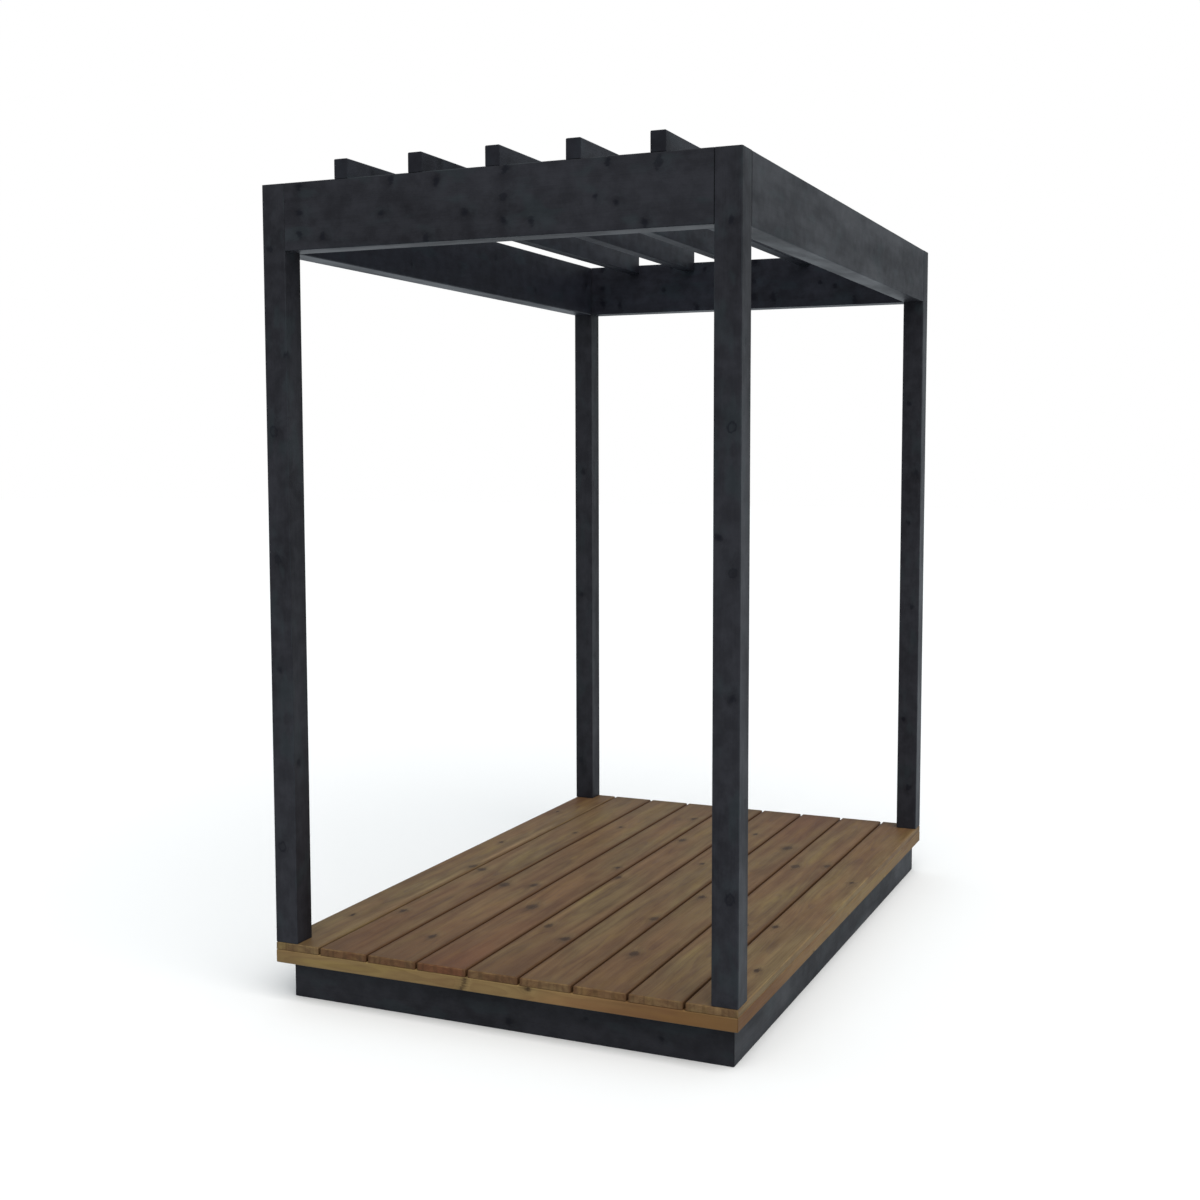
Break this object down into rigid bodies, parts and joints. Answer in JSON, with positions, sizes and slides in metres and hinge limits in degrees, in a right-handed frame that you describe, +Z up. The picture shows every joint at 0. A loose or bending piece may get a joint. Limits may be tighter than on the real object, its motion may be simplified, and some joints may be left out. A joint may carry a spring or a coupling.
{
  "type": "wooden pergola",
  "caption": "Free-standing timber pergola: square posts on a boarded deck carry a beam frame with narrow rafters notched over the front beam.",
  "frame": {"origin": "at ground level, in the middle of the deck's footprint", "axes": "+X to the right and +Y to the back as seen from the side where the rafter ends show, +Z up; the deck boards run along Y"},
  "size_m": [1.345, 2.01, 2.266],
  "materials": {
    "black_stained_timber": "planed softwood with a black stain, matt to satin, with faint grain and knots",
    "deck_timber": "planed brown softwood boards, satin, with knots and tone that changes from board to board",
    "rim_timber": "planed yellow-brown softwood, satin"
  },
  "bodies": {
    "root": {"plinth_front": "black_stained_timber", "plinth_back": "black_stained_timber", "plinth_left": "black_stained_timber", "plinth_right": "black_stained_timber", "rim_front": "rim_timber", "rim_back": "rim_timber", "rim_left": "rim_timber", "rim_right": "rim_timber", "joist_1": "rim_timber", "joist_2": "rim_timber", "joist_3": "rim_timber", "deck_board_1": "deck_timber", "deck_board_2": "deck_timber", "deck_board_3": "deck_timber", "deck_board_4": "deck_timber", "deck_board_5": "deck_timber", "deck_board_6": "deck_timber", "deck_board_7": "deck_timber", "deck_board_8": "deck_timber", "deck_board_9": "deck_timber", "post_front_left": "black_stained_timber", "post_front_right": "black_stained_timber", "post_back_left": "black_stained_timber", "post_back_right": "black_stained_timber", "beam_front": "black_stained_timber", "beam_back": "black_stained_timber", "beam_left": "black_stained_timber", "beam_right": "black_stained_timber", "rafter_1": "black_stained_timber", "rafter_2": "black_stained_timber", "rafter_3": "black_stained_timber", "rafter_4": "black_stained_timber", "rafter_5": "black_stained_timber"}
  },
  "joints": []
}
